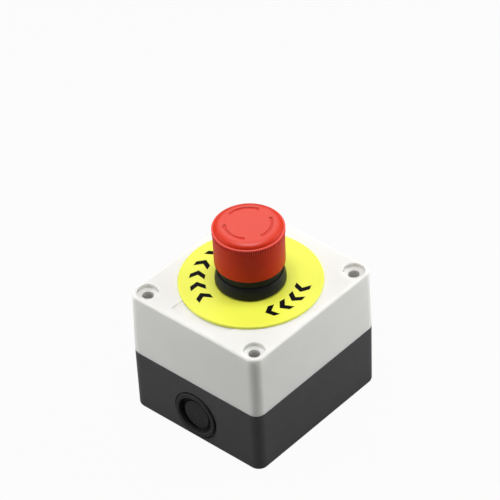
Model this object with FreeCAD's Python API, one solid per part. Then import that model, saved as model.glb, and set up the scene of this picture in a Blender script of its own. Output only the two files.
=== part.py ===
import FreeCAD, Part
import math
import os

# An emergency stop station: a two-part box with a twist-release push button in its lid and an
# opening and a closing contact block inside. Millimetres, +Z up, origin at the middle of the
# underside, cable entry on the -Y side.

V = FreeCAD.Vector
ORIGIN = V(0, 0, 0)
ALONG_X = V(1, 0, 0)
ALONG_Z = V(0, 0, 1)
TINY = 1e-4
THROUGH = 50.0

# Box
seam_length_x = 69.3
seam_length_y = 75.1
lid_height = 30.5
draft_angle = 0.6
wall = 3.0
floor_thickness = 2.0
lid_thickness = 3.0
corner_radius = 4.5
least_corner_radius = 0.5
lid_edge_radius = 1.2
base_edge_radius = 1.3
seam_edge_radius = 0.35

# Seal between lid and base
groove_width = 1.4
groove_depth = 1.6
tongue_width = 1.0
tongue_height = 0.8
gasket_clearance = 0.05

# Lid screws and their wells
screw_inset_x = 5.95
screw_inset_y = 6.35
lid_screw_length = 20.0
lid_screw_radius = 1.25
lid_screw_head_radius = 2.25
lid_screw_head_height = 1.6
lid_screw_slot_width = 0.6
lid_screw_slot_depth = 0.8
screw_clearance = 0.05
screw_well_clearance = 0.2
screw_seat_height = 5.0
screw_hole_spare = 2.0
post_wall = 1.55
recess_radius = 4.6
recess_floor = 1.0

# Cable entry, its blind plug and the knock-out opposite
entry_radius = 10.0
entry_floor_gap = 0.1
entry_cut_spare = 1.0
plug_flange_overlap = 0.6
plug_flange_thickness = 1.4
plug_flange_edge_radius = 0.4
plug_mouth_edge_radius = 0.4
plug_seat_depth = 0.6
plug_seat_gap = 0.7
plug_clearance = 0.1
plug_snap_height = 0.6
plug_snap_thickness = 1.2
plug_snap_gap = 0.3
plug_skin = 1.3
plug_groove_width = 2.2
plug_groove_depth = 2.9
plug_middle_drop = 1.05
plug_dome_rise = 0.3
knockout_groove_width = 0.9
knockout_web = 1.0
knockout_bridge = 4.0

# Wall-screw holes in the floor
mount_inset = 10.55
mount_hole_radius = 2.25
mount_boss_wall = 2.75
mount_boss_height = 2.5

# Label recess in the lid
label_width = 28.7
label_length = 6.3
label_margin = 4.0
label_depth = 0.4
label_corner_radius = 1.0

# Legend disc and the hole that holds the button
disc_radius = 30.0
disc_thickness = 1.2
disc_edge_radius = 0.5
barrel_radius = 11.0
panel_clearance = 0.25
key_width = 3.0
key_height = 1.0
key_root = 1.0
key_clearance = 0.1

# Collar cup on the lid
travel = 4.0
stop_gap = 0.3
collar_overhang = 3.8
bezel_floor_thickness = 1.2
bezel_lip_wall = 0.3
bezel_base_wall = 1.35
bezel_lip_overlap = 0.4
bezel_edge_radius = 0.15
bezel_waist_rise = 0.75
bezel_waist_edge_radius = 0.6
bezel_foot_inset = 1.3
panel_gasket_inset = 2.0
panel_gasket_width = 1.4
panel_gasket_thickness = 0.5

# Cap and sleeve of the head
sleeve_clearance = 0.15
cap_height = 19.3
cap_overhang = 1.38
cap_flare = 0.37
cap_foot_edge_radius = 0.4
cap_crown_reach = 3.2
cap_rim_drop = 2.0
cap_rim_width = 0.5
cap_rim_step = 0.25
cap_top_thickness = 2.5
cap_seat_width = 1.25
cap_fit = 0.05
spigot_height = 10.1
spigot_wall = 1.2
web_thickness = 2.0

# Turning tube, rod and latch
running_fit = 0.05
loose_fit = 0.1
rod_radius = 3.4
rod_tip = 1.4
cam_wall = 2.5
cam_length = 26.5
cam_flange_width = 2.0
cam_flange_thickness = 1.5
cam_dog_count = 3
cam_dog_radius = 1.0
cam_dog_inset = 0.4
cam_dog_height = 1.6
cam_notch_count = 3
cam_notch_width = 4.0
cam_notch_height = 2.5
collar_width = 2.1
collar_thickness = 1.5
latch_neck = 2.5
latch_head_width = 1.2
latch_head_height = 1.4
latch_play = 0.2
latch_ring_thickness = 0.8
latch_finger_count = 4
latch_finger_gap = 0.15
latch_slot_width = 2.6
latch_rim = 1.4
fin_width = 2.0
fin_height = 1.6
fin_drop = 0.5
clip_overhang = 2.1
clip_thickness = 0.6
clip_groove_depth = 0.8
clip_mouth_angle = 70.0

# Barrel under the lid, with its nut and end guide
seal_seat_depth = 3.3
seal_thickness = 2.8
seal_width = 2.8
guide_land = 3.0
chamber_clearance = 1.9
latch_seat_width = 1.1
guide_height = 7.7
guide_plate_thickness = 2.5
nut_wall = 3.5
nut_height = 5.0
nut_notch_count = 6
nut_notch_width = 3.0
nut_notch_depth = 1.5

# Return spring
spring_clearance = 0.4
spring_wire = 1.0
spring_active_turns = 4
closed_turns = 1
closed_turn_pitch = 1.1

# Cross bar and contact carrier
bar_gap = 0.5
bar_thickness = 2.5
bar_half_width = 3.0
bar_overhang = 0.3
bar_corner_radius = 1.5
bar_peg_step = 1.0
carrier_height = 6.5
carrier_wall = 2.4
carrier_leg_width = 5.2
carrier_foot_thickness = 2.5
carrier_foot_length = 7.3
carrier_screw_length = 8.0
carrier_screw_radius = 1.25
carrier_screw_head_radius = 2.2
carrier_screw_head_height = 1.8
carrier_screw_hole_spare = 0.5

# Contact blocks
wiring_space = 6.0
block_gap = 0.5
block_spacing = 0.8
block_height = 22.5
block_wall = 1.2
block_roof = 1.5
cover_thickness = 1.0
cover_seat = 0.6
cavity_width = 8.2
cavity_half_length = 9.5
pocket_length = 7.3
pocket_roof = 7.0
terminal_level = 13.0
terminal_width = 4.0
terminal_thickness = 0.8
terminal_clearance = 0.1
terminal_drop = 6.0
terminal_end_gap = 1.0
contact_place = 5.5
contact_radius = 1.3
contact_height = 0.5
contact_gap = 0.05
bridge_width = 3.4
bridge_thickness = 0.8
bridge_end_gap = 2.5
bridge_fit = 0.1
pusher_wall = 0.7
pusher_fit = 0.1
contact_spring_length = 8.2
contact_spring_radius = 1.7
contact_spring_wire = 0.5
contact_spring_active_turns = 4
clamp_size = 6.0
clamp_thickness = 0.9
terminal_screw_radius = 1.5
terminal_screw_head_radius = 2.6
terminal_screw_head_height = 2.2
terminal_screw_tip = 1.2

# Heights above the lid's top face, less than nothing below it, from the head downwards
disc_rise = disc_thickness
bezel_floor_rise = disc_rise + bezel_floor_thickness
sleeve_rise = bezel_floor_rise + travel + stop_gap
lip_rise = sleeve_rise + bezel_lip_overlap
cap_rise = lip_rise + travel + stop_gap
web_top_rise = cap_rise + spigot_height
web_rise = web_top_rise - web_thickness
cam_rise = web_rise - cam_length
collar_rise = cam_rise - collar_thickness
latch_head_rise = collar_rise - latch_neck
latch_ring_rise = latch_head_rise - travel + latch_play
barrel_rise = latch_ring_rise - guide_height
bar_rise = barrel_rise - bar_gap - bar_thickness
block_top_rise = bar_rise - travel - block_gap
block_rise = block_top_rise - block_height

# The base is as deep as the blocks and their wiring need
lid_top = floor_thickness + wiring_space - block_rise
base_height = lid_top - lid_height
lid_ceiling = lid_top - lid_thickness

# The same levels above the underside
disc_top = lid_top + disc_rise
bezel_floor = lid_top + bezel_floor_rise
sleeve_bottom = lid_top + sleeve_rise
bezel_lip = lid_top + lip_rise
cap_bottom = lid_top + cap_rise
cap_top = cap_bottom + cap_height
web_top = lid_top + web_top_rise
web_bottom = lid_top + web_rise
cam_bottom = lid_top + cam_rise
collar_bottom = lid_top + collar_rise
latch_head_top = lid_top + latch_head_rise
latch_head_bottom = latch_head_top - latch_head_height
latch_ring_bottom = lid_top + latch_ring_rise
latch_ring_top = latch_ring_bottom + latch_ring_thickness
barrel_bottom = lid_top + barrel_rise
bar_bottom = lid_top + bar_rise
bar_top = bar_bottom + bar_thickness
block_top = lid_top + block_top_rise
block_bottom = lid_top + block_rise

# Shared radii and places
screw_x = seam_length_x / 2 - screw_inset_x
screw_y = seam_length_y / 2 - screw_inset_y
screw_well_radius = lid_screw_head_radius + screw_well_clearance
post_radius = screw_well_radius + post_wall
plug_flange_radius = entry_radius + plug_flange_overlap
plug_snap_radius = entry_radius + plug_snap_height
entry_height = floor_thickness + entry_floor_gap + plug_snap_radius
mount_y = seam_length_y / 2 - mount_inset
bezel_base_radius = barrel_radius + collar_overhang
bezel_cup_radius = bezel_base_radius - bezel_base_wall
bezel_lip_radius = bezel_cup_radius + bezel_lip_wall
panel_gasket_radius = bezel_base_radius - panel_gasket_inset
panel_gasket_bore = panel_gasket_radius - panel_gasket_width
sleeve_radius = bezel_cup_radius - sleeve_clearance
cap_foot_radius = sleeve_radius + cap_overhang
cap_rim_radius = cap_foot_radius + cap_flare
cap_bore_radius = sleeve_radius - cap_seat_width
spigot_radius = cap_bore_radius - cap_fit
spigot_bore_radius = spigot_radius - spigot_wall
spring_radius = spigot_bore_radius - spring_clearance - spring_wire / 2
key_radius = barrel_radius + key_height
cam_bore_radius = rod_radius + loose_fit
cam_radius = cam_bore_radius + cam_wall
cam_flange_radius = cam_radius + cam_flange_width
collar_radius = rod_radius + collar_width
fin_radius = rod_radius + fin_height
clip_radius = rod_radius + clip_overhang
bar_peg_radius = rod_radius - bar_peg_step
seal_radius = cam_radius + running_fit + seal_width
seal_seat_radius = seal_radius + running_fit
chamber_radius = collar_radius + chamber_clearance
guide_bore_radius = chamber_radius + latch_seat_width
latch_head_radius = rod_radius + latch_head_width
latch_finger_radius = latch_head_radius + latch_finger_gap

# Shared places in the contact blocks
block_inner_x = block_spacing / 2
cavity_x = block_inner_x + block_wall
cover_x = cavity_x + cavity_width
block_outer_x = cover_x + cover_thickness
pusher_x = cavity_x + cavity_width / 2
pusher_half = bridge_width / 2 + bridge_fit + pusher_wall
pocket_y = cavity_half_length + block_wall
block_end_y = pocket_y + pocket_length
terminal_y = pocket_y + pocket_length / 2
cavity_floor = block_bottom + block_wall
cavity_roof = block_top - block_roof
pusher_bottom = cavity_floor + contact_spring_length
strip_bottom = block_bottom + terminal_level
strip_top = strip_bottom + terminal_thickness
nc_bridge_bottom = strip_bottom - 2 * contact_height - contact_gap - bridge_thickness
no_strip_top = strip_top - terminal_drop
no_bridge_bottom = no_strip_top + 2 * contact_height + travel + contact_gap


def slab(x0, x1, y0, y1, z0, z1):
    """A box between six planes."""
    return Part.makeBox(x1 - x0, y1 - y0, z1 - z0, V(x0, y0, z0))


def rod(radius, z0, z1, x=0, y=0):
    """An upright cylinder."""
    return Part.makeCylinder(radius, z1 - z0, V(x, y, z0))


def tube(outer, inner, z0, z1):
    """An upright tube on the button's axis."""
    return rod(outer, z0, z1).cut(rod(inner, z0, z1))


def turned(profile, bends=None):
    """A solid turned about Z from (radius, height) corners.

    The side that starts at a corner named in bends is an arc through the point given there.
    """
    sides = []
    for start, end in zip(profile, profile[1:] + profile[:1]):
        first, last = V(start[0], 0, start[1]), V(end[0], 0, end[1])
        if bends and start in bends:
            radius, height = bends[start]
            sides.append(Part.Arc(first, V(radius, 0, height), last).toShape())
        else:
            sides.append(Part.makeLine(first, last))
    return Part.Face(Part.Wire(sides)).revolve(ORIGIN, ALONG_Z, 360)


def arc_middle(along, across):
    """The middle of an arc that leaves its start straight along and ends along and across from it."""
    radius = (along ** 2 + across ** 2) / (2 * across)
    half_turn = math.atan2(across, along)
    return radius * math.sin(half_turn), radius * (1 - math.cos(half_turn))


def fused(shapes):
    """One solid from several that meet."""
    return shapes[0].fuse(shapes[1:]).removeSplitter()


def rounded_circle(shape, fillet, radius, height):
    """Round the circular edge at a radius and height."""
    def lies_there(edge):
        curve = edge.Curve
        if not isinstance(curve, Part.Circle):
            return False
        return abs(curve.Radius - radius) < TINY and abs(curve.Center.z - height) < TINY
    return shape.makeFillet(fillet, [edge for edge in shape.Edges if lies_there(edge)])


def rounded_upright(shape, fillet):
    """Round the edges that run from the bottom to the top of a block."""
    height = shape.BoundBox.ZLength
    return shape.makeFillet(fillet, [edge for edge in shape.Edges if edge.BoundBox.ZLength > height / 2])


def rounded_level(shape, fillet, height):
    """Round the edges that lie in one level plane."""
    def lies_there(edge):
        box = edge.BoundBox
        return abs(box.ZMin - height) < TINY and abs(box.ZMax - height) < TINY
    return shape.makeFillet(fillet, [edge for edge in shape.Edges if lies_there(edge)])


def four_corners(x, y):
    """The four places at plus and minus x and y."""
    return [(side_x * x, side_y * y) for side_x in (-1, 1) for side_y in (-1, 1)]


def both_ends(shape):
    """A shape and its twin at the other end of the Y axis."""
    return [shape, shape.mirror(ORIGIN, V(0, 1, 0))]


def spread(shape, count):
    """Copies of a shape, evenly round the button's axis."""
    copies = []
    for step in range(count):
        twin = shape.copy()
        twin.rotate(ORIGIN, ALONG_Z, 360.0 * step / count)
        copies.append(twin)
    return copies


def inner_corner(inset):
    """The plan corner radius of a face that lies inside the box's outer face."""
    return max(corner_radius - inset, least_corner_radius)


def lean_at(height):
    """How far the drafted sides have drawn in at a height."""
    return abs(height - base_height) * math.tan(math.radians(draft_angle))


def drafted_block(inset, z0, z1):
    """A block with the box's drafted sides, moved in by an inset."""
    wires = []
    for height in (z0, z1):
        x = seam_length_x / 2 - inset - lean_at(height)
        y = seam_length_y / 2 - inset - lean_at(height)
        corners = [V(-x, -y, height), V(x, -y, height), V(x, y, height), V(-x, y, height)]
        wires.append(Part.makePolygon(corners + corners[:1]))
    return rounded_upright(Part.makeLoft(wires, True, True), inner_corner(inset))


def seam_ring(width, z0, z1):
    """An upright ring along the middle of the wall at the seam."""
    plates = []
    for inset in (wall / 2 - width / 2, wall / 2 + width / 2):
        x = seam_length_x / 2 - inset
        y = seam_length_y / 2 - inset
        plates.append(rounded_upright(slab(-x, x, -y, y, z0, z1), inner_corner(inset)))
    return plates[0].cut(plates[1])


def at_entry(shape):
    """Turn a shape built on +Z outwards through the -Y wall and place it at the cable entry."""
    shape.rotate(ORIGIN, ALONG_X, 90)
    face_y = seam_length_y / 2 - lean_at(entry_height)
    shape.translate(V(0, -face_y, entry_height))
    return shape


def key_rib(clearance, z0, z1):
    """The key on the barrel, or its notch when a clearance is given."""
    half = key_width / 2 + clearance
    return slab(-half, half, barrel_radius - key_root, key_radius + clearance, z0, z1)


def panel_hole(z0, z1):
    """The keyed hole that the barrel passes through."""
    return rod(barrel_radius + panel_clearance, z0, z1).fuse(key_rib(key_clearance, z0, z1))


def knockout_groove():
    """The ring groove of the knock-out, left whole at two bridges."""
    inner = entry_radius - knockout_groove_width
    ring = tube(entry_radius, inner, knockout_web - wall, THROUGH)
    half = knockout_bridge / 2
    bridges = slab(-entry_radius, entry_radius, -half, half, knockout_web - wall, THROUGH)
    groove = at_entry(ring.cut(bridges))
    return groove.mirror(ORIGIN, V(0, 1, 0))


def make_base_box():
    """The box: drafted shell, corner posts, seal groove, entry, knock-out and wall-screw holes."""
    outer = drafted_block(0, 0, base_height)
    outer = rounded_level(outer, base_edge_radius, 0)
    outer = rounded_level(outer, seam_edge_radius, base_height)
    shell = outer.cut(drafted_block(wall, floor_thickness, base_height))
    posts = [rod(post_radius, floor_thickness - TINY, base_height, x, y)
             for x, y in four_corners(screw_x, screw_y)]
    boss_radius = mount_hole_radius + mount_boss_wall
    boss_top = floor_thickness + mount_boss_height
    bosses = [rod(boss_radius, floor_thickness - TINY, boss_top, 0, y) for y in (-mount_y, mount_y)]
    box = fused([shell] + posts + bosses)
    screw_hole_bottom = base_height + screw_seat_height - lid_screw_length - screw_hole_spare
    hole_radius = lid_screw_radius + screw_clearance
    cuts = [rod(hole_radius, screw_hole_bottom, base_height, x, y)
            for x, y in four_corners(screw_x, screw_y)]
    cuts += [rod(mount_hole_radius, 0, boss_top, 0, y) for y in (-mount_y, mount_y)]
    cuts.append(seam_ring(groove_width, base_height - groove_depth, base_height))
    cuts.append(at_entry(rod(plug_flange_radius + plug_seat_gap, -plug_seat_depth, THROUGH)))
    cuts.append(at_entry(rod(entry_radius, -wall - entry_cut_spare, THROUGH)))
    cuts.append(knockout_groove())
    return box.cut(cuts)


def make_lid():
    """The lid: drafted shell with screw wells, seal tongue, label recess and keyed button hole."""
    outer = drafted_block(0, base_height, lid_top)
    outer = rounded_level(outer, lid_edge_radius, lid_top)
    outer = rounded_level(outer, seam_edge_radius, base_height)
    shell = outer.cut(drafted_block(wall, base_height, lid_ceiling))
    posts = [rod(post_radius, base_height, lid_ceiling + TINY, x, y)
             for x, y in four_corners(screw_x, screw_y)]
    tongue = seam_ring(tongue_width, base_height - tongue_height, base_height + TINY)
    lid = fused([shell] + posts + [tongue])
    seat = base_height + screw_seat_height
    cuts = [panel_hole(lid_ceiling, lid_top)]
    for x, y in four_corners(screw_x, screw_y):
        cuts.append(rod(recess_radius, lid_ceiling + recess_floor, lid_top, x, y))
        cuts.append(rod(screw_well_radius, seat, lid_top, x, y))
        cuts.append(rod(lid_screw_radius + screw_clearance, base_height, seat, x, y))
    label_y = seam_length_y / 2 - lean_at(lid_top) - label_margin
    field = slab(-label_width / 2, label_width / 2, -label_y, label_length - label_y,
                 lid_top - label_depth, lid_top)
    cuts.append(rounded_upright(field, label_corner_radius))
    return lid.cut(cuts)


def make_lid_gasket():
    """The rubber ring at the bottom of the rim groove, pressed by the tongue."""
    return seam_ring(groove_width - 2 * gasket_clearance, base_height - groove_depth,
                     base_height - tongue_height)


def lid_screw(x, y):
    """One cheese-head screw, slotted, its shank plain."""
    seat = base_height + screw_seat_height
    head_top = seat + lid_screw_head_height
    head = rod(lid_screw_head_radius, seat, head_top, x, y)
    half = lid_screw_slot_width / 2
    slot = slab(x - THROUGH, x + THROUGH, y - half, y + half, head_top - lid_screw_slot_depth, head_top)
    shank = rod(lid_screw_radius, seat - lid_screw_length, seat + TINY, x, y)
    return fused([head.cut(slot), shank])


def make_entry_plug():
    """The blind plug: raised flange, neck, snap bead, ring groove and a sunk, slightly domed middle."""
    neck = entry_radius - plug_clearance
    mouth = neck - plug_skin
    core = mouth - plug_groove_width
    front = plug_flange_thickness - plug_seat_depth
    groove_floor = front - plug_groove_depth
    back = -wall - plug_snap_gap
    end = back - plug_snap_thickness
    body = turned([(0, front), (plug_flange_radius, front), (plug_flange_radius, -plug_seat_depth),
                   (neck, -plug_seat_depth), (neck, back), (plug_snap_radius, back), (neck, end), (0, end)])
    body = body.cut(tube(mouth, core, groove_floor, front))
    body = rounded_circle(body, plug_flange_edge_radius, plug_flange_radius, front)
    body = rounded_circle(body, plug_mouth_edge_radius, mouth, front)
    dome_radius = (core ** 2 + plug_dome_rise ** 2) / (2 * plug_dome_rise)
    dome = Part.makeSphere(dome_radius, V(0, 0, front - plug_middle_drop - dome_radius))
    return at_entry(body.cut(rod(core, groove_floor, front).cut(dome)))


def make_legend_disc():
    """The round plate between lid and collar."""
    disc = rounded_circle(rod(disc_radius, lid_top, disc_top), disc_edge_radius, disc_radius, disc_top)
    return disc.cut(panel_hole(lid_top, disc_top))


def make_panel_gasket():
    """The seal in the recess under the collar."""
    return tube(panel_gasket_radius, panel_gasket_bore, disc_top, disc_top + panel_gasket_thickness)


def make_bezel():
    """Collar cup and barrel in one moulding, bored for the seal, the tube and the latch."""
    seat = bezel_floor - seal_seat_depth
    land = seat - guide_land
    guide_radius = cam_radius + loose_fit
    waist = (bezel_base_radius, disc_top + bezel_waist_rise)
    lip = (bezel_lip_radius, bezel_lip)
    bend_rise, bend_inset = arc_middle(bezel_lip - waist[1], bezel_base_radius - bezel_lip_radius)
    body = turned([(barrel_radius, disc_top), (bezel_base_radius - bezel_foot_inset, disc_top), waist, lip,
                   (bezel_cup_radius, bezel_lip), (bezel_cup_radius, bezel_floor),
                   (seal_seat_radius, bezel_floor), (seal_seat_radius, seat), (guide_radius, seat),
                   (guide_radius, land), (chamber_radius, land), (chamber_radius, latch_ring_top),
                   (guide_bore_radius, latch_ring_top), (guide_bore_radius, barrel_bottom),
                   (barrel_radius, barrel_bottom)],
                  {waist: (bezel_base_radius - bend_inset, waist[1] + bend_rise)})
    body = rounded_circle(body, bezel_edge_radius, *lip)
    body = rounded_circle(body, bezel_waist_edge_radius, *waist)
    gasket_outer = panel_gasket_radius + gasket_clearance
    gasket_inner = panel_gasket_bore - gasket_clearance
    body = body.cut(tube(gasket_outer, gasket_inner, disc_top, disc_top + panel_gasket_thickness))
    key = key_rib(0, lid_ceiling, disc_top + TINY).cut(rod(barrel_radius - TINY, lid_ceiling, bezel_floor))
    return fused([body, key])


def make_mounting_nut():
    """The ring nut that clamps the button to the lid, notched for a spanner."""
    inner = barrel_radius + running_fit
    outer = inner + nut_wall
    bottom = lid_ceiling - nut_height
    half = nut_notch_width / 2
    notch = slab(outer - nut_notch_depth, outer + nut_wall, -half, half, bottom, lid_ceiling)
    return tube(outer, inner, bottom, lid_ceiling).cut(spread(notch, nut_notch_count))


def make_shaft_seal():
    """The lip seal in the collar's floor, round the turning tube."""
    seat = bezel_floor - seal_seat_depth
    return tube(seal_radius, cam_radius + running_fit, seat, seat + seal_thickness)


def make_latch_ring():
    """The spring ring whose fingers catch behind the rod's latch head."""
    outer = guide_bore_radius - loose_fit
    ring = tube(outer, latch_finger_radius, latch_ring_bottom, latch_ring_top)
    half = latch_slot_width / 2
    slot = slab(0, outer - latch_rim, -half, half, latch_ring_bottom, latch_ring_top)
    return ring.cut(spread(slot, latch_finger_count))


def fins(clearance, z0, z1):
    """The two fins that keep the rod from turning, or their slots when a clearance is given."""
    reach = fin_radius + clearance
    half = fin_width / 2 + clearance
    return slab(-reach, reach, -half, half, z0, z1).common(rod(reach, z0, z1))


def make_plunger_guide():
    """The barrel's end guide: a tube that holds the latch ring and a keyed end plate."""
    outer = guide_bore_radius - loose_fit
    plate_top = barrel_bottom + guide_plate_thickness
    cup = tube(outer, chamber_radius, plate_top - TINY, latch_ring_bottom)
    plate = rod(outer, barrel_bottom, plate_top)
    keyhole = rod(rod_radius + loose_fit, barrel_bottom, plate_top)
    slots = fins(loose_fit, barrel_bottom, plate_top)
    return fused([cup, plate]).cut([keyhole, slots])


def make_head_cap():
    """The red cap: hollow, slightly flared, with a rim line under a rounded crown."""
    rim_top = cap_top - cap_rim_drop
    rim_bottom = rim_top - cap_rim_width
    neck = cap_rim_radius - cap_rim_step
    roof = cap_top - cap_top_thickness
    flat_edge = (neck - cap_crown_reach, cap_top)
    bend_reach, bend_drop = arc_middle(cap_crown_reach, cap_rim_drop)
    cap = turned([(0, cap_top), flat_edge, (neck, rim_top), (cap_rim_radius, rim_top),
                  (cap_rim_radius, rim_bottom), (neck, rim_bottom - cap_rim_step),
                  (cap_foot_radius, cap_bottom), (cap_bore_radius, cap_bottom),
                  (cap_bore_radius, roof), (0, roof)],
                 {flat_edge: (flat_edge[0] + bend_reach, cap_top - bend_drop)})
    return rounded_circle(cap, cap_foot_edge_radius, cap_foot_radius, cap_bottom)


def cam_dogs(clearance):
    """The drive dogs between tube and sleeve, or their holes when a clearance is given."""
    top = web_bottom + cam_dog_height + clearance
    dog = rod(cam_dog_radius + clearance, web_bottom - TINY, top, cam_radius - cam_dog_inset)
    return spread(dog, cam_dog_count)


def make_head_sleeve():
    """The black sleeve: a skirt that slides in the collar, a spigot in the cap and a web."""
    body = turned([(spigot_bore_radius, sleeve_bottom), (sleeve_radius, sleeve_bottom),
                   (sleeve_radius, cap_bottom), (spigot_radius, cap_bottom), (spigot_radius, web_top),
                   (rod_radius + running_fit, web_top), (rod_radius + running_fit, web_bottom),
                   (spigot_bore_radius, web_bottom)])
    return body.cut(cam_dogs(running_fit))


def make_twist_cam():
    """The turning tube: drive flange with dogs above, ramp notches below."""
    flange_bottom = web_bottom - cam_flange_thickness
    body = turned([(cam_bore_radius, cam_bottom), (cam_radius, cam_bottom), (cam_radius, flange_bottom),
                   (cam_flange_radius, flange_bottom), (cam_flange_radius, web_bottom),
                   (cam_bore_radius, web_bottom)])
    half = cam_notch_width / 2
    ramp = [V(0, -half, cam_bottom), V(0, half, cam_bottom), V(0, half, cam_bottom + cam_notch_height)]
    notch = Part.Face(Part.makePolygon(ramp + ramp[:1])).extrude(V(2 * cam_radius, 0, 0))
    return fused([body.cut(spread(notch, cam_notch_count))] + cam_dogs(0))


def make_plunger():
    """The rod: clip groove, collar under the tube, latch head, fins and a peg for the cross bar."""
    groove_bottom = web_top + running_fit
    groove_top = groove_bottom + clip_thickness + running_fit
    groove_radius = rod_radius - clip_groove_depth
    tip = groove_top + rod_tip
    body = turned([(0, tip), (rod_radius, tip), (rod_radius, groove_top), (groove_radius, groove_top),
                   (groove_radius, groove_bottom), (rod_radius, groove_bottom), (rod_radius, cam_bottom),
                   (collar_radius, cam_bottom), (collar_radius, collar_bottom),
                   (rod_radius, collar_bottom), (rod_radius, latch_head_top),
                   (latch_head_radius, latch_head_top), (rod_radius, latch_head_bottom),
                   (rod_radius, bar_top), (bar_peg_radius, bar_top), (bar_peg_radius, bar_bottom),
                   (0, bar_bottom)])
    return fused([body, fins(0, bar_top, latch_ring_bottom - fin_drop)])


def make_plunger_clip():
    """The open clip in the rod's groove, above the sleeve's web."""
    bottom = web_top + running_fit
    inner = rod_radius - clip_groove_depth + running_fit
    ring = tube(clip_radius, inner, bottom, bottom + clip_thickness)
    reach = 2 * clip_radius
    spread_y = reach * math.tan(math.radians(clip_mouth_angle / 2))
    mouth = [V(0, 0, bottom), V(reach, -spread_y, bottom), V(reach, spread_y, bottom)]
    wedge = Part.Face(Part.makePolygon(mouth + mouth[:1])).extrude(V(0, 0, clip_thickness))
    return ring.cut(wedge)


def make_pusher_bar():
    """The cross bar on the rod's peg, over both contact blocks."""
    reach = pusher_x + pusher_half + bar_overhang
    bar = slab(-reach, reach, -bar_half_width, bar_half_width, bar_bottom, bar_top)
    peg_hole = rod(bar_peg_radius + running_fit, bar_bottom, bar_top)
    return rounded_upright(bar, bar_corner_radius).cut(peg_hole)


def coil(radius, wire, z0, z1, active_turns):
    """A compression spring with closed ends: half turns that each climb in a tilted plane."""
    closed_climb = wire * closed_turn_pitch / 2
    closed_half_turns = 2 * closed_turns
    open_half_turns = 2 * active_turns
    open_climb = (z1 - z0 - wire - 2 * closed_half_turns * closed_climb) / open_half_turns
    climbs = [closed_climb] * closed_half_turns + [open_climb] * open_half_turns
    climbs += [closed_climb] * closed_half_turns
    side = 1
    start = V(radius, 0, z0 + wire / 2)
    half_turns = []
    for climb in climbs:
        end = V(-side * radius, 0, start.z + climb)
        centre = (start + end) / 2
        axis = (start - centre).cross(V(0, side, 0))
        section = Part.Face(Part.Wire(Part.Circle(start, V(0, side, 0), wire / 2).toShape()))
        half_turns.append(section.revolve(centre, axis, 180))
        start = end
        side = -side
    return half_turns[0].fuse(half_turns[1:])


def make_contact_carrier():
    """The ring on the barrel's end with two legs and feet that hold the contact blocks."""
    inner = barrel_radius + running_fit
    outer = inner + carrier_wall
    ring_top = barrel_bottom + carrier_height
    ring = tube(outer, inner, barrel_bottom, ring_top)
    half = carrier_leg_width / 2
    foot_start = block_end_y - carrier_foot_length
    leg = slab(-half, half, 0, block_end_y, block_top, ring_top)
    leg = leg.cut(rod(outer - carrier_wall / 2, block_top, ring_top))
    foot_top = block_top + carrier_foot_thickness
    foot = slab(-block_outer_x, block_outer_x, foot_start, block_end_y, block_top, foot_top)
    body = fused([ring] + both_ends(leg) + both_ends(foot))
    hole = carrier_screw_radius + screw_clearance
    return body.cut([rod(hole, block_top, foot_top, x, y) for x, y in four_corners(pusher_x, terminal_y)])


def carrier_screw(x, y):
    """One screw from a carrier foot into a block, its shank plain."""
    seat = block_top + carrier_foot_thickness
    head = rod(carrier_screw_head_radius, seat, seat + carrier_screw_head_height, x, y)
    return fused([head, rod(carrier_screw_radius, seat - carrier_screw_length, seat + TINY, x, y)])


def cover_plate(clearance):
    """The block's side cover, or its seat when a clearance is given."""
    half = cavity_half_length + cover_seat + clearance
    return slab(cover_x, block_outer_x, -half, half, cavity_floor - cover_seat - clearance,
                cavity_roof + cover_seat + clearance)


def make_block_housing():
    """A contact block's body: cavity with an open side, two terminal pockets, screw holes."""
    body = slab(block_inner_x, block_outer_x, -block_end_y, block_end_y, block_bottom, block_top)
    cuts = [slab(cavity_x, cover_x, -cavity_half_length, cavity_half_length, cavity_floor, cavity_roof)]
    cuts.append(cover_plate(terminal_clearance))
    shaft = pusher_half + pusher_fit
    cuts.append(slab(pusher_x - shaft, pusher_x + shaft, -shaft, shaft, cavity_roof, block_top))
    half = terminal_width / 2 + terminal_clearance
    for pocket in both_ends(slab(cavity_x, block_outer_x - block_wall, pocket_y, block_end_y,
                                 block_bottom, block_top - pocket_roof)):
        cuts.append(pocket)
    for slot in both_ends(slab(pusher_x - half, pusher_x + half, cavity_half_length, pocket_y,
                               strip_bottom - terminal_clearance, strip_top + terminal_clearance)):
        cuts.append(slot)
    hole_bottom = block_top + carrier_foot_thickness - carrier_screw_length - carrier_screw_hole_spare
    hole = carrier_screw_radius + screw_clearance
    cuts += [rod(hole, hole_bottom, block_top, pusher_x, y) for y in (-terminal_y, terminal_y)]
    return body.cut(cuts)


def make_pusher(bridge_bottom):
    """A block's pusher: a square bar with a window that carries the bridge."""
    bar = slab(pusher_x - pusher_half, pusher_x + pusher_half, -pusher_half, pusher_half,
               pusher_bottom, bar_bottom - contact_gap)
    half = bridge_width / 2 + bridge_fit
    window = slab(pusher_x - half, pusher_x + half, -pusher_half, pusher_half,
                  bridge_bottom, bridge_bottom + bridge_thickness + bridge_fit)
    return bar.cut(window)


def make_bridge(bridge_bottom, contacts_up):
    """The moving contact: a strip with a contact rivet at each end."""
    reach = cavity_half_length - bridge_end_gap
    half = bridge_width / 2
    top = bridge_bottom + bridge_thickness
    strip = slab(pusher_x - half, pusher_x + half, -reach, reach, bridge_bottom, top)
    low = top - TINY if contacts_up else bridge_bottom - contact_height
    rivets = both_ends(rod(contact_radius, low, low + contact_height + TINY, pusher_x, contact_place))
    return fused([strip] + rivets)


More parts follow.
